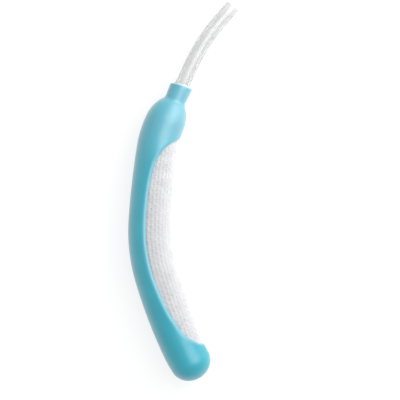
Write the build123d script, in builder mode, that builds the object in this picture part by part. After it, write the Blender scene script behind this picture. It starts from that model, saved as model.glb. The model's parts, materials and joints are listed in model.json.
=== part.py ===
"""Curved suction wick: a soft casing with a window, a gauze-covered core and a clear tube.

The wick lies on its side. Its centreline is a chain of tangent arcs in one level plane, with the
hollow side of the curve towards +X and the tube's open end towards +Y. Z is up, and the casing's
lowest point is at Z = 0. Millimetres and degrees.
"""
import os
from math import cos, radians, sin

from build123d import *

# Centreline of the body, from the centre of the tail's dome to the centre of the shoulder.
# A heading is measured from +Y towards +X. Each arc is its length and how far it turns.
tail_x = 4.5
tail_y = -110.62
tail_heading = -32.0
body_arcs = ((9.0, 8.7), (48.5, 5.4), (39.0, 21.2), (48.0, 5.3), (15.5, 15.9))
body_length = sum(length for length, turn in body_arcs)

# Casing: outer radius at distances along the centreline, and its wall.
casing_radii = (
    (0.0, 13.4), (12.0, 13.9), (28.0, 14.3), (45.0, 14.4), (60.0, 14.2), (80.0, 14.1),
    (100.0, 13.9), (125.0, 13.6), (145.0, 13.4), (body_length, 13.0),
)
casing_wall = 1.3
tail_dome_depth = 12.4
reservoir_wall = 1.6
shoulder_depth = 19.0
shoulder_cavity_depth = 16.0
collar_radius = 7.05
collar_root = 17.2        # from the shoulder's centre to the foot of the collar
collar_length = 9.8
collar_fillet = 2.0
collar_edge = 0.5

# Clear tube, 9.53 x 6.35 mm (3/8 x 1/4 inch), with a shallow socket at its open end.
tube_radius = 4.7625
bore_radius = 3.175
socket_radius = 3.9
socket_depth = 5.5
inlet_distance = -6.0     # the inlet stands in the reservoir, this far past the dome's centre
flex_distance = 8.0       # from the collar's mouth to the flex axis
flex_inner_radius = 5.2
flex_outer_radius = 5.5
free_straight = 5.5
free_arc = (39.0, 17.5)
free_end_straight = 9.5

# Wick: the gauze stands proud of its own circle on the hollow side, by up to this much.
wick_start = 5.0
wick_bulge = 1.2
gauze_thickness = 0.9
gauze_end_gap = 0.4       # between the sleeve's closed ends and the casing
neck_length = 6.0
neck_bore = 5.1
neck_radius = 6.0
band_radius = 7.4
band_width = 2.6
band_offset = 2.2
band_edge = 0.5
seal_thickness = 0.35
seal_recess = 0.4         # the seal ends this far inside the collar's mouth

# Window border on the side view: distance along the centreline, and offset towards +X.
window_border = (
    (158.0, 17.2), (149.5, 10.6), (143.0, 5.0), (135.0, 0.9), (124.0, -1.3), (108.0, -2.3),
    (84.0, -2.3), (60.0, -1.7), (40.0, -0.1), (28.0, 2.3), (17.0, 5.8), (7.5, 13.0), (4.5, 17.0),
)
window_reach = 30.0
cutter_size = 60.0        # larger than any section that a cutter passes through

# The loft through the casing's sections swells a little past its thickest one.
loft_swell = 0.02
axis_height = max(radius for distance, radius in casing_radii) + loft_swell


def direction(heading):
    """Unit vector of a heading in the level plane."""
    return Vector(sin(radians(heading)), cos(radians(heading)), 0)


def lay_arcs(start, heading, arcs):
    """Lay tangent arcs one after another in the current line, and return the end and heading."""
    point = Vector(start)
    for length, turn in arcs:
        run = JernArc(point, direction(heading), length / radians(abs(turn)), -turn)
        point = run @ 1
        heading = heading + turn
    return point, heading


with BuildLine() as centreline:
    body_start = Vector(tail_x, tail_y, axis_height)
    shoulder_centre, collar_heading = lay_arcs(body_start, tail_heading, body_arcs)

collar_foot = shoulder_centre + direction(collar_heading) * collar_root
collar_mouth = collar_foot + direction(collar_heading) * collar_length
flex_centre = collar_mouth + direction(collar_heading) * flex_distance


def station(distance):
    """Plane square to the centreline, with its x axis towards the hollow side of the curve."""
    wire = centreline.wire()
    along = min(max(distance, 0.0), body_length)
    tangent = wire.tangent_at(along, position_mode=PositionMode.LENGTH)
    origin = wire.position_at(along, position_mode=PositionMode.LENGTH)
    origin = origin + tangent * (distance - along)
    return Plane(origin=origin, x_dir=(tangent.Y, -tangent.X, 0), z_dir=tangent)


def beside(distance, offset):
    """Point in the level plane, at an offset from the centreline towards the hollow side."""
    plane = station(distance)
    return plane.origin + plane.x_dir * offset


def casing_radius(distance):
    """Outer radius of the casing at a distance along the centreline."""
    for (start, low), (end, high) in zip(casing_radii, casing_radii[1:]):
        if distance <= end:
            return low + (high - low) * (distance - start) / (end - start)
    return casing_radii[-1][1]


def bulge(distance):
    """How far the gauze stands out of its own circle, fading to nothing at the wick's two ends."""
    share = (distance - wick_start) / (body_length - wick_start)
    return wick_bulge * sin(radians(180 * share)) ** 0.6 if 0 < share < 1 else 0.0


def wick_stations():
    """Distances of the wick's sections: its two ends and the casing's stations between them."""
    between = [distance for distance, radius in casing_radii if wick_start < distance < body_length]
    return [wick_start] + between + [body_length]


def wick_section(distance, inset):
    """One closed section of the wick, egg-shaped towards the hollow side of the curve."""
    radius = casing_radius(distance) - casing_wall - inset
    stand_out = bulge(distance)
    with BuildSketch(station(distance)) as section:
        with Locations((stand_out / 2, 0)):
            Ellipse(radius + stand_out / 2, radius)
    return section.sketch


def side_of(base):
    """Plane through a base plane's axis, which is this plane's y axis, for turned profiles."""
    return Plane(origin=base.origin, x_dir=base.x_dir, z_dir=base.x_dir.cross(base.z_dir))


def add_dome(base, radius, depth):
    """Add half an ellipsoid to the current part, on a base plane and along that plane's z axis."""
    with BuildSketch(side_of(base)) as quarter:
        with BuildLine():
            EllipticalCenterArc((0, 0), radius, depth, arc_size=90)
            Polyline((0, depth), (0, 0), (radius, 0))
        make_face()
    revolve(quarter.sketch, axis=Axis(base.origin, base.z_dir))


# The clear tube: one length through the wick and collar, and the free end beyond the flex axis.
tail_plane = Plane(origin=body_start, x_dir=station(0).x_dir, z_dir=-direction(tail_heading))
shoulder_plane = station(body_length)
tube_inlet = station(inlet_distance).origin

with BuildLine() as fixed_path:
    Line(tube_inlet, body_start)
    lay_arcs(body_start, tail_heading, body_arcs)
    Line(shoulder_centre, flex_centre + direction(collar_heading) * flex_inner_radius)

with BuildPart() as beyond_flex:
    with Locations(Plane(origin=flex_centre, z_dir=direction(collar_heading))):
        Box(cutter_size, cutter_size, cutter_size, align=(Align.CENTER, Align.CENTER, Align.MIN))
    with Locations(flex_centre):
        Cylinder(flex_inner_radius, cutter_size, mode=Mode.SUBTRACT)

with BuildPart() as suction_tube:
    with BuildSketch(Plane(origin=tube_inlet, z_dir=direction(tail_heading))):
        Circle(tube_radius)
        Circle(bore_radius, mode=Mode.SUBTRACT)
    sweep(path=fixed_path.wire())
    add(beyond_flex.part, mode=Mode.SUBTRACT)

with BuildPart() as tube_envelope:
    with BuildSketch(Plane(origin=tube_inlet, z_dir=direction(tail_heading))):
        Circle(tube_radius)
    sweep(path=fixed_path.wire())

with BuildLine() as free_path:
    arc_start = flex_centre + direction(collar_heading) * free_straight
    Line(flex_centre, arc_start)
    straight_start, end_heading = lay_arcs(arc_start, collar_heading, (free_arc,))
    tube_end = straight_start + direction(end_heading) * free_end_straight
    Line(straight_start, tube_end)

with BuildPart() as tube_free_end:
    with BuildSketch(Plane(origin=flex_centre, z_dir=direction(collar_heading))):
        Circle(tube_radius)
        Circle(bore_radius, mode=Mode.SUBTRACT)
    sweep(path=free_path.wire())
    with Locations(flex_centre):
        Cylinder(flex_outer_radius, cutter_size, mode=Mode.SUBTRACT)
    with BuildSketch(Plane(origin=tube_end, z_dir=-direction(end_heading))):
        Circle(socket_radius)
    extrude(amount=socket_depth, mode=Mode.SUBTRACT)

# The core: porous fibre with a tunnel for the tube.
with BuildPart() as wick_core:
    loft([wick_section(distance, gauze_thickness) for distance in wick_stations()])
    add(tube_envelope.part, mode=Mode.SUBTRACT)

# The gauze sleeve: over the core, closed over its two ends, with a neck round the tube at each.
low_end = station(wick_start)
neck_starts = (
    Plane(origin=low_end.origin, z_dir=-low_end.z_dir),
    Plane(origin=shoulder_plane.origin, z_dir=shoulder_plane.z_dir),
)
end_radii = [casing_radius(distance) - casing_wall for distance in (wick_start, body_length)]

with BuildPart() as wick_envelope:
    loft([wick_section(distance, 0) for distance in wick_stations()])

with BuildPart() as gauze_sleeve:
    add(wick_envelope.part)
    add(wick_core.part, mode=Mode.SUBTRACT)
    add(tube_envelope.part, mode=Mode.SUBTRACT)
    for plane, end_radius in zip(neck_starts, end_radii):
        with BuildSketch(plane):
            Circle(end_radius - gauze_end_gap)
        extrude(amount=gauze_thickness)
        with BuildSketch(plane):
            Circle(neck_radius)
        extrude(amount=neck_length)
        with BuildSketch(plane):
            Circle(neck_bore)
        extrude(amount=neck_length, mode=Mode.SUBTRACT)

# An elastic band holds each neck to the tube.
bands = {}
for name, plane in zip(("gauze_band_lower", "gauze_band_upper"), neck_starts):
    with BuildPart() as band:
        with BuildSketch(plane.offset(band_offset)):
            Circle(band_radius)
            Circle(neck_radius, mode=Mode.SUBTRACT)
        extrude(amount=band_width)
        fillet(band.edges().filter_by(GeomType.CIRCLE).sort_by(SortBy.RADIUS)[-2:], band_edge)
    bands[name] = band.part

# The casing: tail dome, curved body, shoulder and collar, hollowed for the wick and reservoir.
inner_dome = (casing_radii[0][1] - reservoir_wall, tail_dome_depth - reservoir_wall)
inner_shoulder = (casing_radii[-1][1] - casing_wall, shoulder_cavity_depth)

with BuildPart() as cavity:
    add(wick_envelope.part)
    with BuildSketch(tail_plane):
        Circle(inner_dome[0])
    with BuildSketch(station(wick_start)):
        Circle(casing_radius(wick_start) - casing_wall)
    loft()
    add_dome(tail_plane, *inner_dome)
    add_dome(shoulder_plane, *inner_shoulder)
    with BuildSketch(shoulder_plane):
        Circle(tube_radius + seal_thickness)
    extrude(amount=collar_root + collar_length)

with BuildPart() as window_cutter:
    with BuildSketch(Plane.XY):
        with BuildLine():
            border = [beside(distance, offset) for distance, offset in window_border]
            border = [Vector(point.X, point.Y, 0) for point in border]
            Spline(*border)
            far_low = border[-1] + Vector(window_reach, 0, 0)
            far_high = border[0] + Vector(window_reach, 0, 0)
            Polyline(border[-1], far_low, far_high, border[0])
        make_face()
    extrude(amount=cutter_size)

with BuildPart() as casing:
    for distance, radius in casing_radii:
        with BuildSketch(station(distance)):
            Circle(radius)
    loft()
    add_dome(tail_plane, casing_radii[0][1], tail_dome_depth)
    with BuildSketch(side_of(shoulder_plane)) as shoulder_profile:
        with BuildLine():
            EllipticalCenterArc((0, 0), casing_radii[-1][1], shoulder_depth, arc_size=90)
            Polyline((0, shoulder_depth), (0, 0), (casing_radii[-1][1], 0))
        make_face()
        Rectangle(collar_radius, collar_root + collar_length, align=(Align.MIN, Align.MIN))
        collar_corners = shoulder_profile.vertices().filter_by_position(
            Axis.X, collar_radius - collar_edge / 2, collar_radius + collar_edge / 2
        )
        fillet(collar_corners.sort_by(Axis.Y)[0], collar_fillet)
        fillet(shoulder_profile.vertices().group_by(Axis.Y)[-1].sort_by(Axis.X)[-1], collar_edge)
    revolve(axis=Axis(shoulder_plane.origin, shoulder_plane.z_dir))
    add(cavity.part, mode=Mode.SUBTRACT)
    add(window_cutter.part, mode=Mode.SUBTRACT)

# Adhesive ring that seals the tube into the collar.
with BuildPart() as outlet_seal:
    with BuildSketch(Plane(origin=collar_foot, z_dir=direction(collar_heading))):
        Circle(tube_radius + seal_thickness)
        Circle(tube_radius, mode=Mode.SUBTRACT)
    extrude(amount=collar_length - seal_recess)

pieces = {
    "casing": casing.part,
    "wick_core": wick_core.part,
    "gauze_sleeve": gauze_sleeve.part,
    "suction_tube": suction_tube.part,
    "tube_free_end": tube_free_end.part,
    "outlet_seal": outlet_seal.part,
    **bands,
}
os.makedirs("parts", exist_ok=True)
for name, piece in pieces.items():
    piece.label = name
    export_step(piece, f"parts/{name}.step")
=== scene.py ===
"""Looks of a curved suction wick: a soft teal casing, ribbed gauze in its window, a clear tube.

Shapes are worked out in millimetres along one centreline, from the tail's dome through the
casing and its collar to the tube's open end, and meshes are in metres in the frame of the
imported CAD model. Angles round the centreline are 0 on the hollow side of the curve, 90 up.
"""

import json
from math import pi

import bmesh
import bpy
import numpy as np
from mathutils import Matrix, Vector


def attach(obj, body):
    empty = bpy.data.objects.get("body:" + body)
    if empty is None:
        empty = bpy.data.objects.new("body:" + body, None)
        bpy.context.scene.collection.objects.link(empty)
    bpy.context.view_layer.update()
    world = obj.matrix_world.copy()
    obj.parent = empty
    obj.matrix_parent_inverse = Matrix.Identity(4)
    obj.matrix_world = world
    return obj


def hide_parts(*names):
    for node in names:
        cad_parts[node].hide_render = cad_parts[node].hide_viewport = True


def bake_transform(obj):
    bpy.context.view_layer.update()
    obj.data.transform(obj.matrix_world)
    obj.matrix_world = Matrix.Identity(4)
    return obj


MM = 0.001

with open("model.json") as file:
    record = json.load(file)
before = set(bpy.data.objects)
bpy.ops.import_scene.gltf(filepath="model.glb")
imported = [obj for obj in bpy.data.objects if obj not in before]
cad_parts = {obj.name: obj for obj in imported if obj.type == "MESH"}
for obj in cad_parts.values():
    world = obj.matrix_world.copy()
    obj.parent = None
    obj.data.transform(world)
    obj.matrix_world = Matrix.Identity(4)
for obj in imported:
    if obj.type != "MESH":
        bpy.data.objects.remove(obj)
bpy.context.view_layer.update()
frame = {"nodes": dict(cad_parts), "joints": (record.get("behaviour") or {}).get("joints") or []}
nodes = frame["nodes"]
flex_joint = frame["joints"][0]

# Centreline: lengths and turns, in degrees, of tangent arcs. Distance 0 is the centre of the
# tail's dome. The collar's heading is measured from +Y towards the hollow side.
BODY_ARCS = ((9.0, 8.7), (48.5, 5.4), (39.0, 21.2), (48.0, 5.3), (15.5, 15.9))
BODY_LENGTH = sum(length for length, turn in BODY_ARCS)
COLLAR_HEADING = 24.5
COLLAR_FOOT = BODY_LENGTH + 17.2
COLLAR_MOUTH = COLLAR_FOOT + 9.8
FLEX = COLLAR_MOUTH + 8.0
FREE_STRAIGHT = 5.5
FREE_ARC = (39.0, 17.5)
FREE_END = 9.5
TUBE_END = FLEX + FREE_STRAIGHT + FREE_ARC[0] + FREE_END
TUBE_INLET = -6.0
TRACE_STEP = 0.1
TRACE_PAST = 10.0

# Casing: radii of its outer skin by distance, its walls, shoulder and collar.
CASING_RADII = (
    (0.0, 13.4), (12.0, 13.9), (28.0, 14.3), (45.0, 14.4), (60.0, 14.2), (80.0, 14.1),
    (100.0, 13.9), (125.0, 13.6), (145.0, 13.4), (BODY_LENGTH, 13.0),
)
RADIUS_SMOOTHING = 4.0
WALL = 1.3
TAIL_DEPTH = 12.4
TAIL_WALL = 1.6
SHOULDER_DEPTH = 19.0
SHOULDER_CAVITY = 16.0
COLLAR_RADIUS = 7.3
COLLAR_WAIST = 6.9
COLLAR_FILLET = 4.0
COLLAR_EDGE = 0.8
MOUTH_ROUND = 0.3
COLLAR_LEAN = 0.12
COLLAR_LEAN_REACH = 6.0

# Window border on the side view: distance along the centreline, offset to the hollow side.
WINDOW_BORDER = (
    (158.0, 17.2), (149.5, 10.6), (143.0, 5.0), (135.0, 0.9), (124.0, -1.3), (108.0, -2.3),
    (84.0, -2.3), (60.0, -1.7), (40.0, -0.1), (28.0, 2.3), (17.0, 5.8), (8.1, 12.8), (5.3, 17.0),
)
# The casing's soft edge: distance from the border, height above or below the outer skin.
LIP = (
    (3.2, 0.0), (2.5, 0.02), (2.0, -0.02), (1.55, -0.10), (1.15, -0.24), (0.78, -0.44),
    (0.46, -0.66), (0.2, -0.87), (0.05, -1.03), (0.0, -1.14), (0.12, -1.25), (0.5, -1.3),
    (1.2, -1.3), (3.2, -1.3),
)
# Width of a painted pale rim along the soft edge, standing for light caught by and shining through the
# thin lip.
PAINTED_RIM_WIDTH = 3.2
SPREAD_RADIUS = 14.0      # turns an angle on the casing into a distance on its spread-out skin
BORDER_SAMPLES = 600      # in each span of the border
# The patch of skin that holds the window.
COLUMNS = 96              # round the casing and the core
PATCH_START = 1.0
PATCH_END = 159.0
PATCH_ROWS = 150
PATCH_RINGS = 10          # from the patch's edge to the casing's soft edge
PATCH_EASE = 1.4          # crowds those rings towards the soft edge
PATCH_REACH = 34          # columns from the hollow side to the patch's edge
CORNER_LENGTH = 22.0      # of the border, facing the patch's short edges
# A painted highlight, a paler whiter skin colour standing for the lamps' soft sheen, rises over this
# stretch towards the collar.
PAINTED_SHEEN_START = 118.0
PAINTED_SHEEN_FULL = 168.0
PAINTED_SHEEN_TOP = 0.62          # at the top of the section
PAINTED_SHEEN_SWING = 0.34        # gained from there to the hollow side, and lost to the back

# Clear tube.
TUBE_RADIUS = 4.7625
BORE_RADIUS = 3.175
SOCKET_RADIUS = 3.9
SOCKET_DEPTH = 5.5
SOCKET_SHOULDER_START = TUBE_END - SOCKET_DEPTH + 0.8
SOCKET_SHOULDER_LENGTH = 4.0
TUBE_EDGE = 0.3
TUBE_COLUMNS = 72
SEAL_THICKNESS = 0.35
SEAL_GAP = 0.02

# Wick: gauze sleeve over a fibre core. Insets are below the inside of the casing's wall, and
# the necks are radii round the tube and lengths past the wick's ends.
WICK_START = 5.0
WICK_BULGE = 1.2
GAUZE_THICKNESS = 0.9
GAUZE_OUTSIDE_INSET = 0.34
GAUZE_INSIDE_INSET = GAUZE_THICKNESS + 0.3
GAUZE_CORNER = 1.6
NECK_INSIDE = 5.15
NECK_OUTSIDE = NECK_INSIDE + 0.75
NECK_LENGTH = 6.0
NECK_START = 1.4
NECK_PLEAT = 0.12
END_PLEAT = 0.28
CORE_INSET = GAUZE_THICKNESS + 0.45
CORE_END_GAP = 0.6
CORE_ROUND = 1.8
CORE_LUMPS = 0.10
TUNNEL_RADIUS = TUBE_RADIUS + 0.12

# Knit: heights of its ribs, stitches and slow unevenness, and depth of its eyelets.
RIBS = 31
RIB_COLUMNS = 8
COURSE = 1.95
RIB_WANDER = 0.10
RIB_HEIGHT = 0.16
STITCH_HEIGHT = 0.15
CHEVRON = 0.42
EYELET_DEPTH = 0.32
UNEVENNESS = 0.12

# Studio, in metres, but the lens and its sensor in millimetres. The camera sees VIEW_WIDTH
# across at the object's middle height.
VIEW_WIDTH = 0.260
VIEW_CENTRE = (0.0109, -0.0057)
LENS = 150.0
SENSOR = 36.0
FLOOR_SIZE = 12.0
WHITE = (1.0, 1.0, 1.0, 1.0)

UP = np.array((0.0, 0.0, 1.0))


def traced_centreline():
    """Distances, plan points and headings along the centreline, placed by the joint's own axis."""
    arcs = BODY_ARCS + ((FLEX + FREE_STRAIGHT - BODY_LENGTH, 0.0), FREE_ARC, (FREE_END, 0.0))
    body_turn = sum(turn for length, turn in BODY_ARCS)
    knots = np.cumsum([0.0] + [length for length, turn in arcs])
    headings = COLLAR_HEADING - body_turn + np.cumsum([0.0] + [turn for length, turn in arcs])
    distance = np.arange(TUBE_INLET, TUBE_END + TRACE_PAST, TRACE_STEP)
    heading = np.radians(np.interp(distance, knots, headings))
    step = np.stack((np.sin(heading), np.cos(heading)), axis=1)
    middle = (step[1:] + step[:-1]) / 2 * TRACE_STEP
    points = np.concatenate((np.zeros((1, 2)), np.cumsum(middle, axis=0)))
    at_flex = [np.interp(FLEX, distance, points[:, axis]) for axis in (0, 1)]
    points += np.array(flex_joint["pos_m"][:2]) / MM - at_flex
    return distance, points, heading


TRACE, TRACE_POINTS, TRACE_HEADING = traced_centreline()
AXIS_HEIGHT = flex_joint["pos_m"][2] / MM


def follow(distance):
    """Point, tangent and side direction of the centreline; it runs straight past its two ends."""
    distance = np.asarray(distance, float)
    heading = np.interp(distance, TRACE, TRACE_HEADING)
    tangent = np.stack((np.sin(heading), np.cos(heading), np.zeros_like(heading)), axis=-1)
    side = np.stack((np.cos(heading), -np.sin(heading), np.zeros_like(heading)), axis=-1)
    x = np.interp(distance, TRACE, TRACE_POINTS[:, 0])
    y = np.interp(distance, TRACE, TRACE_POINTS[:, 1])
    point = np.stack((x, y, np.full_like(x, AXIS_HEIGHT)), axis=-1)
    past = distance - np.clip(distance, TRACE[0], TRACE[-1])
    return point + tangent * past[..., None], tangent, side


def place(distance, radius, angle):
    """Points at distances along the centreline, radii from it and angles round it, in radians."""
    distance, radius, angle = np.broadcast_arrays(distance, radius, angle)
    point, tangent, side = follow(distance)
    across = side * np.cos(angle)[..., None] + UP * np.sin(angle)[..., None]
    return point + across * radius[..., None]


def smoothed(table, width):
    """Function that follows a table of pairs, rounded off over a width at its knots."""
    x, y = np.array(table, float).T
    step = 0.25
    fine = np.arange(x[0] - 4 * width, x[-1] + 4 * width, step)
    reach = np.arange(-3 * width, 3 * width, step)
    kernel = np.exp(-0.5 * (reach / width) ** 2)
    rounded = np.convolve(np.interp(fine, x, y), kernel / kernel.sum(), mode="same")
    inside = (fine >= x[0]) & (fine <= x[-1])
    return lambda distance: np.interp(distance, fine[inside], rounded[inside])


casing_radius = smoothed(CASING_RADII, RADIUS_SMOOTHING)


def ellipse_arc(centre, across, along, first, last, count):
    """Profile points (distance, radius) of an ellipse about a point on the centreline."""
    angle = np.radians(np.linspace(first, last, count))
    return np.stack((centre + along * np.sin(angle), across * np.cos(angle)), axis=1)


def round_corner(centre, radius, first, last, count=6):
    """Profile points (distance, radius) of a circular arc, with angles from the axis."""
    angle = np.radians(np.linspace(first, last, count))
    offset = np.stack((np.cos(angle), np.sin(angle)), axis=1)
    return np.array(centre) + radius * offset


def join(*parts):
    """One profile from several."""
    return np.concatenate([np.asarray(part, float).reshape(-1, 2) for part in parts])


def straight(start, end, step=1.5):
    """Evenly spaced profile points between two points, without the last one."""
    count = max(int(np.hypot(end[0] - start[0], end[1] - start[1]) / step), 1)
    share = np.linspace(0, 1, count, endpoint=False)[:, None]
    return np.array(start) * (1 - share) + np.array(end) * share


def grid_faces(rows, columns, close_rows=False, close_columns=True):
    """Quads over a grid of vertices, each row wrapped round if close_columns is set."""
    index = np.arange(rows * columns).reshape(rows, columns)
    if close_columns:
        index = np.concatenate((index, index[:, :1]), axis=1)
    if close_rows:
        index = np.concatenate((index, index[:1]), axis=0)
    quads = (index[:-1, :-1], index[1:, :-1], index[1:, 1:], index[:-1, 1:])
    return np.stack(quads, axis=-1).reshape(-1, 4)


class Shell:
    """Grids and fans of vertices that become one mesh, with values stored on the vertices."""

    def __init__(self):
        self.points = []
        self.faces = []
        self.values = []
        self.count = 0

    def grid(self, points, values=None, **closing):
        """Adds a grid of points, with a value for each point or row, and its faces."""
        rows, columns = points.shape[:2]
        if values is None:
            values = np.zeros((rows, columns))
        self.faces += (grid_faces(rows, columns, **closing) + self.count).tolist()
        self.points.append(points.reshape(-1, 3))
        self.values.append(np.broadcast_to(values, (rows, columns)).reshape(-1))
        self.count += rows * columns

    def fan(self, ring, centre):
        """Closes a ring of points with triangles to its centre."""
        size = len(ring)
        middle = self.count + size
        self.faces += [[self.count + i, self.count + (i + 1) % size, middle] for i in range(size)]
        self.points += [ring, centre[None]]
        self.values.append(np.zeros(size + 1))
        self.count += size + 1

    def build(self, name, value_name=None):
        """The finished object, its grids joined where they meet and its normals outward."""
        mesh = bpy.data.meshes.new(name)
        mesh.from_pydata(np.concatenate(self.points) * MM, [], self.faces)
        if value_name:
            attribute = mesh.attributes.new(value_name, "FLOAT", "POINT")
            attribute.data.foreach_set("value", np.concatenate(self.values).astype(np.float32))
        shape = bmesh.new()
        shape.from_mesh(mesh)
        bmesh.ops.remove_doubles(shape, verts=shape.verts, dist=0.002 * MM)
        bmesh.ops.recalc_face_normals(shape, faces=shape.faces)
        for face in shape.faces:
            face.smooth = True
        shape.to_mesh(mesh)
        shape.free()
        piece = bpy.data.objects.new(name, mesh)
        bpy.context.scene.collection.objects.link(piece)
        return piece


def lathe(profile, columns, close_rows=False, ripple=None):
    """Grid of points for a profile (distance, radius) turned round the centreline."""
    angle = np.linspace(0, 2 * pi, columns, endpoint=False)[None]
    distance, radius = profile[:, :1], profile[:, 1:]
    if ripple is not None:
        distance, radius = ripple(distance, radius, angle)
    return place(distance, radius, angle)


# ---------------------------------------------------------------- window border


def spline_through(points, per_span):
    """Catmull-Rom curve through points, evenly sampled in each span."""
    points = np.array(points, float)
    ends = (2 * points[0] - points[1], 2 * points[-1] - points[-2])
    points = np.concatenate((ends[0][None], points, ends[1][None]))
    share = np.linspace(0, 1, per_span, endpoint=False)[:, None]
    spans = []
    for before, start, end, after in zip(points, points[1:], points[2:], points[3:]):
        linear = (end - before) * share
        square = (2 * before - 5 * start + 4 * end - after) * share ** 2
        cube = (3 * start - before - 3 * end + after) * share ** 3
        spans.append(start + (linear + square + cube) / 2)
    return np.concatenate(spans)


def half_border():
    """Upper half of the window's border on the spread-out skin, from its low end to its high one."""
    distance, offset = spline_through(WINDOW_BORDER, BORDER_SAMPLES)[::-1].T
    share = offset / casing_radius(distance)
    on_skin = share < 1
    first, last = np.flatnonzero(on_skin)[[0, -1]]
    distance, share = distance[first:last + 1], share[first:last + 1]
    arc = np.arccos(share) * SPREAD_RADIUS
    arc[[0, -1]] = 0
    length = np.concatenate(([0], np.cumsum(np.hypot(np.diff(distance), np.diff(arc)))))
    return length, distance, arc


def patch_frame():
    """Matching points of the border, its outward normals and the patch's edge, all the way round."""
    length, distance, arc = half_border()
    total = length[-1]
    ends = np.linspace(0, 1, PATCH_REACH + 1)
    sides = np.linspace(0, 1, PATCH_ROWS + 1)
    edge_arc = 2 * pi / COLUMNS * SPREAD_RADIUS * np.arange(PATCH_REACH + 1)
    along = np.concatenate((
        CORNER_LENGTH * ends,
        CORNER_LENGTH + (total - 2 * CORNER_LENGTH) * sides[1:],
        total - CORNER_LENGTH * ends[::-1][1:],
    ))
    side_distance = PATCH_START + (PATCH_END - PATCH_START) * sides
    edge = join(
        np.stack((np.full_like(edge_arc, PATCH_START), edge_arc), axis=1),
        np.stack((side_distance, np.full_like(side_distance, edge_arc[-1])), axis=1)[1:],
        np.stack((np.full_like(edge_arc, PATCH_END), edge_arc[::-1]), axis=1)[1:],
    )
    border = np.stack((np.interp(along, length, distance), np.interp(along, length, arc)), axis=1)
    near = 0.4
    ahead, behind = np.clip(along + near, 0, total), np.clip(along - near, 0, total)
    tangent = np.stack((
        np.interp(ahead, length, distance) - np.interp(behind, length, distance),
        np.interp(ahead, length, arc) - np.interp(behind, length, arc),
    ), axis=1)
    tangent[0] = (0, 1)
    tangent[-1] = (0, -1)
    tangent /= np.linalg.norm(tangent, axis=1)[:, None]
    outward = np.stack((-tangent[:, 1], tangent[:, 0]), axis=1)
    mirror = np.array((1.0, -1.0))
    return [np.concatenate((half, half[-2:0:-1] * mirror)) for half in (border, outward, edge)]


def on_casing(spread, height):
    """Points in space for points on the spread-out skin, at a height above the outer skin."""
    distance = spread[..., 0]
    return place(distance, casing_radius(distance) + height, spread[..., 1] / SPREAD_RADIUS)


def painted_sheen(distance, angle):
    """Painted highlight on the casing's skin, 0 to 1: a paler colour standing for the lamps' soft
    sheen, full over the shoulder, most on the hollow side, which faces the light.
    """
    share = np.clip((distance - PAINTED_SHEEN_START) / (PAINTED_SHEEN_FULL - PAINTED_SHEEN_START), 0, 1)
    return share ** 2 * (3 - 2 * share) * (PAINTED_SHEEN_TOP + PAINTED_SHEEN_SWING * np.cos(angle))


def casing_shell():
    """The casing: tail dome, body with a soft-edged window, shoulder and collar, and its inside."""
    shell = Shell()
    border, outward, edge = patch_frame()
    ease = np.linspace(1, 0, PATCH_RINGS, endpoint=False)[:, None, None] ** PATCH_EASE
    outer = border + outward * LIP[0][0]
    rows = [outer + (edge - outer) * ease]
    heights = [0.0] * PATCH_RINGS
    # Paleness along the soft edge is painted light: a whiter rim for light caught by and shining
    # through the thin lip.
    painted_rim = [0.0] * PATCH_RINGS
    for away, height in LIP:
        rows.append((border + outward * away)[None])
        heights.append(height)
        painted_rim.append(max(0.0, 1 - away / PAINTED_RIM_WIDTH))
    rows.append((outer + (edge - outer) * ease)[::-1])
    heights += [-WALL] * PATCH_RINGS
    painted_rim += [0.0] * PATCH_RINGS
    spread = np.concatenate(rows)
    # pale holds painted light: the painted rim of the soft edge or the painted highlight over the
    # shoulder, whichever is stronger.
    pale = np.maximum(np.array(painted_rim)[:, None], painted_sheen(spread[..., 0], spread[..., 1] / SPREAD_RADIUS))
    shell.grid(on_casing(spread, np.array(heights)[:, None]), pale)

    distances = np.linspace(PATCH_START, PATCH_END, PATCH_ROWS + 1)[:, None]
    back = 2 * pi / COLUMNS * np.arange(PATCH_REACH, COLUMNS - PATCH_REACH + 1)[None]
    for height in (0.0, -WALL):
        radius = casing_radius(distances) + height
        # the painted highlight over the shoulder reaches the back of the casing too
        shell.grid(place(distances, radius, back), painted_sheen(distances, back), close_columns=False)

    for height, depth in ((0.0, TAIL_DEPTH), (-WALL, TAIL_DEPTH - TAIL_WALL)):
        low_radius = casing_radius(0.0) + height
        dome = ellipse_arc(0.0, low_radius, -depth, 0, 88, 20)
        profile = join((PATCH_START, casing_radius(PATCH_START) + height), dome)
        points = lathe(profile, COLUMNS)
        shell.grid(points)
        shell.fan(points[-1], follow(-depth)[0])

    profile = collar_profile()
    ring = np.linspace(0, 2 * pi, COLUMNS, endpoint=False)[None]
    # the shoulder and collar carry the painted highlight in their pale value
    shell.grid(lathe(profile, COLUMNS, ripple=lean_mouth), painted_sheen(profile[:, :1], ring))
    return shell.build("casing_shell", "pale")


def lean_mouth(distance, radius, angle):
    """Leans the collar's mouth, so that its hollow side stands a little further out."""
    share = np.clip((distance - COLLAR_MOUTH) / COLLAR_LEAN_REACH + 1, 0, 1)
    return distance + COLLAR_LEAN * share * radius * np.cos(angle), radius


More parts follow.
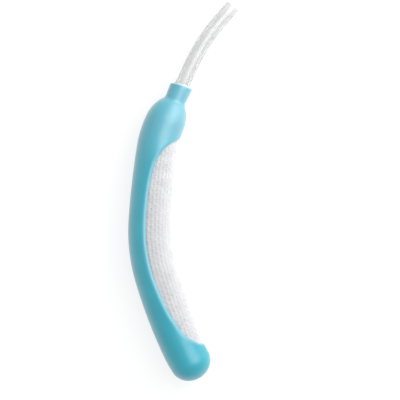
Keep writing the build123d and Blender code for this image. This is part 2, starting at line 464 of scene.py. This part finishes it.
def collar_profile():
    """Profile from the body over the shoulder and collar, through the mouth and back inside."""
    radius = float(casing_radius(BODY_LENGTH))
    angle = np.radians(np.linspace(0, 89, 900))
    skin = np.stack((SHOULDER_DEPTH * np.sin(angle), radius * np.cos(angle)), axis=1)
    normal = np.stack((np.sin(angle) / SHOULDER_DEPTH, np.cos(angle) / radius), axis=1)
    normal /= np.linalg.norm(normal, axis=1)[:, None]
    centres = skin + COLLAR_FILLET * normal
    touch = np.argmin(abs(centres[:, 1] - COLLAR_WAIST - COLLAR_FILLET))
    centre = (BODY_LENGTH + centres[touch, 0], COLLAR_WAIST + COLLAR_FILLET)
    start = np.degrees(np.arctan2(-normal[touch, 1], -normal[touch, 0]))
    shoulder = ellipse_arc(
        BODY_LENGTH, radius, SHOULDER_DEPTH, 0, np.degrees(angle[touch]), 26
    )
    fillet = round_corner(centre, COLLAR_FILLET, start % 360 - 360, -90, 9)
    edge_centre = (COLLAR_MOUTH - COLLAR_EDGE, COLLAR_RADIUS - COLLAR_EDGE)
    edge = round_corner(edge_centre, COLLAR_EDGE, 90, 0)
    bore = TUBE_RADIUS + SEAL_THICKNESS
    mouth = round_corner((COLLAR_MOUTH - MOUTH_ROUND, bore + MOUTH_ROUND), MOUTH_ROUND, 0, -90, 5)
    cavity = radius - WALL
    bore_angle = np.degrees(np.arccos(bore / cavity))
    inside = ellipse_arc(BODY_LENGTH, cavity, SHOULDER_CAVITY, bore_angle, 0, 20)
    return join(
        (PATCH_END, casing_radius(PATCH_END)), shoulder, fillet[1:],
        straight(fillet[-1], edge[0])[1:], edge, straight(edge[-1], mouth[0], 0.4)[1:], mouth,
        straight(mouth[-1], inside[0])[1:], inside, (PATCH_END, casing_radius(PATCH_END) - WALL),
    )


# ---------------------------------------------------------------- wick


def waves(first, second, third):
    """Slow, even unevenness between about -1 and 1, from sums of sines of two coordinates."""
    def value(x, y):
        a = np.sin(x * first + 1.3 * np.sin(y * second))
        b = np.sin(x * second * 1.7 + y * third + 0.8)
        c = np.sin(y * first * 2.1 - x * third * 0.6 + 2.1)
        return (a + b + c) / 3
    return value


slow_waves = waves(0.11, 0.35, 1.0)
quick_waves = waves(0.43, 0.9, 2.0)


def wick_radius(distance, angle, inset):
    """Radius of the wick at an inset from its skin; it stands proud on the hollow side."""
    share = np.clip((distance - WICK_START) / (BODY_LENGTH - WICK_START), 0, 1)
    stand_out = WICK_BULGE * np.sin(pi * share) ** 0.6
    lean = np.clip(np.cos(angle), 0, 1) ** 1.2
    return casing_radius(distance) - WALL - inset + stand_out * lean


def knit(distance, angle):
    """Height of the knit: ribs along the wick, chevron stitches on them, small eyelets between."""
    phase = angle * RIBS / (2 * pi) + RIB_WANDER * quick_waves(distance, 3 * angle)
    rib = 0.5 + 0.5 * np.cos(2 * pi * phase)
    from_crest = abs((phase + 0.5) % 1 - 0.5) * 2
    stitch = np.cos(2 * pi * (distance / COURSE + CHEVRON * from_crest))
    odd = np.floor(phase) % 2
    eyelet = np.clip(np.cos(2 * pi * (distance / (2 * COURSE) + 0.5 * odd)), 0, 1) ** 3
    height = RIB_HEIGHT * (rib ** 0.75 - 0.8)
    height = height + STITCH_HEIGHT * stitch * (0.55 + 0.45 * rib)
    height = height - EYELET_DEPTH * eyelet * (1 - rib) ** 2
    return height + UNEVENNESS * slow_waves(distance, 2 * angle)


def gathered_end(end, outwards, neck, thick, angle):
    """Rows from the end of a neck round the tube, over the end of the core, to the body."""
    rows = []
    edge = np.array([[end - outwards * GAUZE_CORNER]])
    start = wick_radius(edge, angle, 1.0) + thick
    for reach in np.linspace(NECK_LENGTH, NECK_START, 6):
        rows.append(place(end + outwards * reach, neck + NECK_PLEAT * np.cos(RIBS * angle), angle))
    for share in np.linspace(0.0, 1.0, 11)[1:-1]:
        pleat = END_PLEAT * np.cos(RIBS * angle) * (1 - 0.6 * share)
        radius = neck + (start - neck) * np.sin(share * pi / 2)
        reach = NECK_START * (1 - share) ** 2 - GAUZE_CORNER * share ** 5
        reach += (thick - 0.45) * (1 - share)
        rows.append(place(end + outwards * (reach + pleat), radius, angle))
    return np.concatenate(rows)


def gauze_cover():
    """The sleeve: ribbed knit over the core, gathered over its ends into a neck round the tube."""
    angle = np.linspace(0, 2 * pi, RIBS * RIB_COLUMNS, endpoint=False)[None]
    low, high = WICK_START, BODY_LENGTH
    body = np.arange(low + GAUZE_CORNER, high - GAUZE_CORNER, 0.5)[:, None]
    outside = wick_radius(body, angle, GAUZE_OUTSIDE_INSET) + knit(body, angle)
    inner_body = np.arange(high - GAUZE_CORNER, low + GAUZE_CORNER, -4.0)[:, None]
    inside = wick_radius(inner_body, angle, GAUZE_INSIDE_INSET)
    thick = NECK_OUTSIDE - NECK_INSIDE
    rows = (
        gathered_end(low, -1, NECK_OUTSIDE, thick, angle),
        place(body, outside, angle),
        gathered_end(high, 1, NECK_OUTSIDE, thick, angle)[::-1],
        gathered_end(high, 1, NECK_INSIDE, 0.0, angle),
        place(inner_body, inside, angle),
        gathered_end(low, -1, NECK_INSIDE, 0.0, angle)[::-1],
    )
    shell = Shell()
    shell.grid(np.concatenate(rows), close_rows=True)
    return shell.build("gauze_cover")


def fibre_core():
    """The core: a soft fibre body with rounded ends and a tunnel for the tube."""
    low, high = WICK_START + CORE_END_GAP, BODY_LENGTH - CORE_END_GAP
    low_radius = float(casing_radius(low)) - WALL - CORE_INSET
    high_radius = float(casing_radius(high)) - WALL - CORE_INSET
    low_corner = (low + CORE_ROUND, low_radius - CORE_ROUND)
    high_corner = (high - CORE_ROUND, high_radius - CORE_ROUND)
    body = np.arange(low_corner[0] + 1.5, high_corner[0] - 1, 1.5)
    body = np.stack((body, casing_radius(body) - WALL - CORE_INSET), axis=1)
    profile = join(
        straight((high, TUNNEL_RADIUS), (low, TUNNEL_RADIUS), 2.0)[1:],
        straight((low, TUNNEL_RADIUS), (low, low_corner[1]), 1.2),
        round_corner(low_corner, CORE_ROUND, 180, 90),
        body,
        round_corner(high_corner, CORE_ROUND, 90, 0),
        straight((high, high_corner[1]), (high, TUNNEL_RADIUS), 1.2)[1:],
        (high, TUNNEL_RADIUS),
    )

    def lumps(distance, radius, angle):
        """Swells the outside, but not the tunnel, with the wick's bulge and some lumps."""
        outside = radius > TUNNEL_RADIUS + 0.5
        lean = wick_radius(distance, angle, 0) - wick_radius(distance, angle + pi, 0)
        swell = np.clip(lean, 0, None) + CORE_LUMPS * quick_waves(distance, 5 * angle)
        return distance + 0 * angle, radius + np.where(outside, swell, 0)

    shell = Shell()
    shell.grid(lathe(profile, COLUMNS, ripple=lumps), close_rows=True)
    return shell.build("fibre_core")


# ---------------------------------------------------------------- tube and seal


def clear_tube():
    """The whole tube: from its inlet in the tail, through the wick and collar, to its socket."""
    edge = TUBE_EDGE
    low, high = TUBE_INLET + edge, TUBE_END - edge
    lip = edge / 2
    share = np.linspace(0, 1, 13)
    drop = (SOCKET_RADIUS - BORE_RADIUS) * (1 - np.cos(share * pi)) / 2
    shoulder_at = SOCKET_SHOULDER_START - SOCKET_SHOULDER_LENGTH * share
    shoulder = np.stack((shoulder_at, SOCKET_RADIUS - drop), axis=1)
    profile = join(
        straight((low, TUBE_RADIUS), (high, TUBE_RADIUS), 1.2),
        round_corner((high, TUBE_RADIUS - edge), edge, 90, 0, 5),
        round_corner((TUBE_END - lip, SOCKET_RADIUS + lip), lip, 0, -90, 4),
        straight((high, SOCKET_RADIUS), (SOCKET_SHOULDER_START, SOCKET_RADIUS), 1.0)[1:],
        shoulder[:-1],
        straight(shoulder[-1], (low, BORE_RADIUS), 1.2),
        round_corner((low, BORE_RADIUS + edge), edge, -90, -180, 4),
        round_corner((low, TUBE_RADIUS - edge), edge, 180, 90, 4)[:-1],
    )
    shell = Shell()
    shell.grid(lathe(profile, TUBE_COLUMNS), close_rows=True)
    return shell.build("clear_tube")


def adhesive_seal():
    """Cured adhesive between tube and collar, with a small meniscus at the collar's mouth."""
    bore = TUBE_RADIUS + SEAL_THICKNESS - SEAL_GAP
    inner = TUBE_RADIUS + SEAL_GAP
    mouth = COLLAR_MOUTH
    meniscus = (
        (mouth + 0.02, bore + 0.75), (mouth + 0.16, bore + 0.62), (mouth + 0.34, bore + 0.38),
        (mouth + 0.62, bore + 0.14), (mouth + 1.0, bore - 0.06), (mouth + 1.4, inner + 0.12),
        (mouth + 1.6, inner),
    )
    profile = join(
        straight((COLLAR_FOOT, bore), (mouth - 0.35, bore), 2.0),
        (mouth - 0.02, bore + 0.32),
        meniscus,
        straight((mouth, inner), (COLLAR_FOOT, inner), 2.0),
        (COLLAR_FOOT, inner),
    )
    shell = Shell()
    shell.grid(lathe(profile, TUBE_COLUMNS, ripple=lean_mouth), close_rows=True)
    return shell.build("adhesive_seal")


# ---------------------------------------------------------------- materials


class Finish:
    """A node material under construction."""

    def __init__(self, name):
        self.material = bpy.data.materials.new(name)
        self.material.use_nodes = True
        self.tree = self.material.node_tree
        self.shader = self.tree.nodes["Principled BSDF"]

    def node(self, kind, **settings):
        """A new node of a kind, with its settings."""
        made = self.tree.nodes.new(kind)
        for key, value in settings.items():
            setattr(made, key, value)
        return made

    def link(self, source, target):
        self.tree.links.new(source, target)

    def fixed(self, **sockets):
        """Sets the shader's own sockets, named with underscores for spaces."""
        for key, value in sockets.items():
            self.shader.inputs[key.replace("_", " ")].default_value = value

    def attribute(self, name):
        """The value that a mesh's vertices store under a name."""
        return self.node("ShaderNodeAttribute", attribute_name=name).outputs["Fac"]

    def position(self, stretch=(1, 1, 1)):
        """Object coordinates in millimetres, stretched along each axis."""
        source = self.node("ShaderNodeTexCoord")
        mapping = self.node("ShaderNodeMapping")
        mapping.inputs["Scale"].default_value = [value / MM for value in stretch]
        self.link(source.outputs["Object"], mapping.inputs["Vector"])
        return mapping.outputs["Vector"]

    def noise(self, size, detail=3.0, roughness=0.5, stretch=(1, 1, 1)):
        """Noise whose features are about size millimetres across, from 0 to 1."""
        made = self.node("ShaderNodeTexNoise")
        made.inputs["Scale"].default_value = 1 / size
        made.inputs["Detail"].default_value = detail
        made.inputs["Roughness"].default_value = roughness
        self.link(self.position(stretch), made.inputs["Vector"])
        return made.outputs["Fac"]

    def span(self, value, low=0.0, high=1.0):
        """A noise's usual range, 0.3 to 0.7, mapped to low..high."""
        made = self.node("ShaderNodeMapRange")
        made.inputs["From Min"].default_value = 0.3
        made.inputs["From Max"].default_value = 0.7
        made.inputs["To Min"].default_value = low
        made.inputs["To Max"].default_value = high
        self.link(value, made.inputs["Value"])
        return made.outputs["Result"]

    def mix(self, factor, first, second):
        """A colour between two others, each a socket or a fixed colour."""
        made = self.node("ShaderNodeMix", data_type="RGBA")
        self.link(factor, made.inputs["Factor"])
        first_colour, second_colour, result = made.inputs[6], made.inputs[7], made.outputs[2]
        for value, socket in ((first, first_colour), (second, second_colour)):
            if isinstance(value, tuple):
                socket.default_value = (*value, 1.0)
            else:
                self.link(value, socket)
        return result

    def bump(self, height, depth, strength, under=None):
        """Bump of a height from 0 to 1 that stands depth millimetres high, over another bump."""
        made = self.node("ShaderNodeBump")
        made.inputs["Distance"].default_value = depth * MM
        made.inputs["Strength"].default_value = strength
        self.link(height, made.inputs["Height"])
        if under is not None:
            self.link(under, made.inputs["Normal"])
        return made.outputs["Normal"]

    def colour(self, socket):
        self.link(socket, self.shader.inputs["Base Color"])

    def roughness(self, socket):
        self.link(socket, self.shader.inputs["Roughness"])

    def normal(self, socket):
        self.link(socket, self.shader.inputs["Normal"])


def casing_finish():
    """Satin teal elastomer: faint mottling, painted light as a paler teal on the soft edge and over
    the shoulder, a fine moulded grain.
    """
    finish = Finish("casing_elastomer")
    mottling = finish.span(finish.noise(size=14, detail=4))
    teal = finish.mix(mottling, (0.004, 0.350, 0.455), (0.006, 0.385, 0.490))
    # The pale value mixes in painted light: a whiter teal standing for the lamps' sheen on the
    # shoulder and light through the lip's thin edge.
    finish.colour(finish.mix(finish.attribute("pale"), teal, (0.17, 0.42, 0.515)))
    finish.roughness(finish.span(finish.noise(size=5, detail=3), 0.40, 0.50))
    grain = finish.bump(finish.noise(size=0.35, detail=2), depth=0.012, strength=0.5)
    finish.normal(finish.bump(finish.noise(size=9, detail=2), depth=0.05, strength=0.6, under=grain))
    finish.fixed(Subsurface_Weight=0.25, Subsurface_Radius=(0.4, 1.0, 1.2), Subsurface_Scale=1.6 * MM)
    finish.fixed(Specular_IOR_Level=0.8, IOR=1.5)
    finish.fixed(Coat_Weight=0.6, Coat_Roughness=0.36, Coat_IOR=1.5)
    finish.fixed(Sheen_Weight=0.35, Sheen_Roughness=0.45)
    return finish.material


def gauze_finish():
    """White knitted yarn: soft, matte, with fibres across its stitches and a faint unevenness."""
    finish = Finish("gauze")
    tone = finish.span(finish.noise(size=7, detail=4))
    finish.colour(finish.mix(tone, (0.61, 0.61, 0.635), (0.68, 0.68, 0.705)))
    finish.roughness(finish.span(finish.noise(size=0.8, detail=2), 0.80, 0.95))
    yarn = finish.bump(finish.noise(size=0.30, detail=3, roughness=0.6), depth=0.10, strength=0.8)
    finish.normal(finish.bump(finish.noise(size=1.3, detail=3), depth=0.10, strength=0.6, under=yarn))
    finish.fixed(Specular_IOR_Level=0.2, Diffuse_Roughness=0.9, Sheen_Weight=0.05, Sheen_Roughness=0.5)
    finish.fixed(Subsurface_Weight=0.7, Subsurface_Radius=(1.0, 1.0, 1.0), Subsurface_Scale=3.5 * MM)
    return finish.material


def core_finish():
    """Spun white fibre, matte, with strands that run along the core."""
    finish = Finish("core_fibre")
    strands = finish.noise(size=0.8, detail=5, roughness=0.7, stretch=(1, 0.15, 1))
    finish.colour(finish.mix(finish.span(strands), (0.74, 0.74, 0.72), (0.90, 0.90, 0.88)))
    finish.roughness(finish.span(finish.noise(size=2, detail=3), 0.85, 1.0))
    finish.normal(finish.bump(strands, depth=0.25, strength=0.8))
    return finish.material


def tube_finish():
    """Clear flexible PVC: glossy, a little milky, its wall faintly grey, with soft draw lines."""
    finish = Finish("clear_pvc")
    tone = finish.span(finish.noise(size=6, detail=3))
    finish.colour(finish.mix(tone, (0.90, 0.902, 0.902), (0.94, 0.942, 0.942)))
    finish.roughness(finish.span(finish.noise(size=3, detail=3), 0.01, 0.04))
    draw_lines = finish.noise(size=4, detail=1, stretch=(1, 0.12, 1))
    finish.normal(finish.bump(draw_lines, depth=0.008, strength=0.3))
    finish.fixed(Transmission_Weight=0.82, IOR=1.45)
    wall = finish.node("ShaderNodeVolumeAbsorption")
    wall.inputs["Color"].default_value = (0.66, 0.67, 0.67, 1.0)
    wall.inputs["Density"].default_value = 90.0
    finish.link(wall.outputs["Volume"], finish.tree.nodes["Material Output"].inputs["Volume"])
    return finish.material


def elastic_finish():
    """Pale elastic with a fine rubbery grain."""
    finish = Finish("elastic")
    tone = finish.span(finish.noise(size=2, detail=3))
    finish.colour(finish.mix(tone, (0.72, 0.70, 0.64), (0.84, 0.83, 0.78)))
    finish.roughness(finish.span(finish.noise(size=0.6, detail=3), 0.6, 0.8))
    finish.normal(finish.bump(finish.noise(size=0.4, detail=3), depth=0.08, strength=0.7))
    return finish.material


def adhesive_finish():
    """Cloudy cured adhesive."""
    finish = Finish("adhesive")
    tone = finish.span(finish.noise(size=1.5, detail=3))
    finish.colour(finish.mix(tone, (0.80, 0.86, 0.87), (0.93, 0.96, 0.96)))
    finish.roughness(finish.span(finish.noise(size=0.7, detail=3), 0.15, 0.35))
    finish.normal(finish.bump(finish.noise(size=0.9, detail=2), depth=0.05, strength=0.6))
    finish.fixed(Transmission_Weight=0.35, IOR=1.48)
    finish.fixed(Subsurface_Weight=0.3, Subsurface_Radius=(1.0, 1.0, 1.0), Subsurface_Scale=0.8 * MM)
    return finish.material


def clothe(piece, material):
    """Gives a piece or CAD node its material."""
    piece.data.materials.clear()
    piece.data.materials.append(material)
    return piece


# ---------------------------------------------------------------- the object

casing = clothe(casing_shell(), casing_finish())
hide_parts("casing")
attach(casing, "wick_body")

core = clothe(fibre_core(), core_finish())
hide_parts("wick_core")
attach(core, "wick_body")

gauze = clothe(gauze_cover(), gauze_finish())
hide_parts("gauze_sleeve")
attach(gauze, "wick_body")

seal = clothe(adhesive_seal(), adhesive_finish())
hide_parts("outlet_seal")
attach(seal, "wick_body")

elastic = elastic_finish()
for band in ("gauze_band_lower", "gauze_band_upper"):
    clothe(nodes[band], elastic)

tube = clothe(clear_tube(), tube_finish())
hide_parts("suction_tube", "tube_free_end")
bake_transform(tube)

# ---------------------------------------------------------------- studio


def studio_floor():
    """A plain floor, kept pale right out to its far edge by a glow of its own."""
    half = FLOOR_SIZE / 2
    mesh = bpy.data.meshes.new("floor")
    corners = [(-half, -half, 0), (half, -half, 0), (half, half, 0), (-half, half, 0)]
    mesh.from_pydata(corners, [], [(0, 1, 2, 3)])
    floor = bpy.data.objects.new("floor", mesh)
    bpy.context.scene.collection.objects.link(floor)
    finish = Finish("floor")
    finish.fixed(Base_Color=(0.22, 0.22, 0.22, 1.0), Roughness=0.9, Specular_IOR_Level=0.1)
    finish.fixed(Emission_Color=WHITE, Emission_Strength=0.80)
    mesh.materials.append(finish.material)


def soft_light(name, place_at, width, height, power):
    """A white soft panel of so many watts, aimed at the frame's origin with its width level."""
    data = bpy.data.lights.new(name, "AREA")
    data.shape = "RECTANGLE"
    data.size = width
    data.size_y = height
    data.energy = power
    light = bpy.data.objects.new(name, data)
    bpy.context.scene.collection.objects.link(light)
    light.location = place_at
    light.rotation_euler = (-Vector(place_at)).to_track_quat("-Z", "Y").to_euler()


def studio_world(strength):
    """Even white light from all round."""
    world = bpy.data.worlds.new("studio")
    bpy.context.scene.world = world
    world.use_nodes = True
    background = world.node_tree.nodes["Background"]
    background.inputs["Color"].default_value = WHITE
    background.inputs["Strength"].default_value = strength


def camera_above():
    """A long lens straight above, framed on the object's middle height."""
    data = bpy.data.cameras.new("camera")
    data.lens = LENS
    data.sensor_width = SENSOR
    camera = bpy.data.objects.new("camera", data)
    bpy.context.scene.collection.objects.link(camera)
    camera.location = (*VIEW_CENTRE, AXIS_HEIGHT * MM + VIEW_WIDTH * LENS / SENSOR)
    bpy.context.scene.camera = camera


studio_floor()
studio_world(strength=0.50)
soft_light("key", place_at=(0.30, 0.12, 0.58), width=0.60, height=0.60, power=3.3)
soft_light("side", place_at=(0.25, 0.26, 0.17), width=0.40, height=0.24, power=0.85)
soft_light("fill", place_at=(-0.56, 0.05, 0.24), width=0.60, height=0.60, power=0.35)
camera_above()
bpy.context.scene.view_settings.view_transform = "Standard"
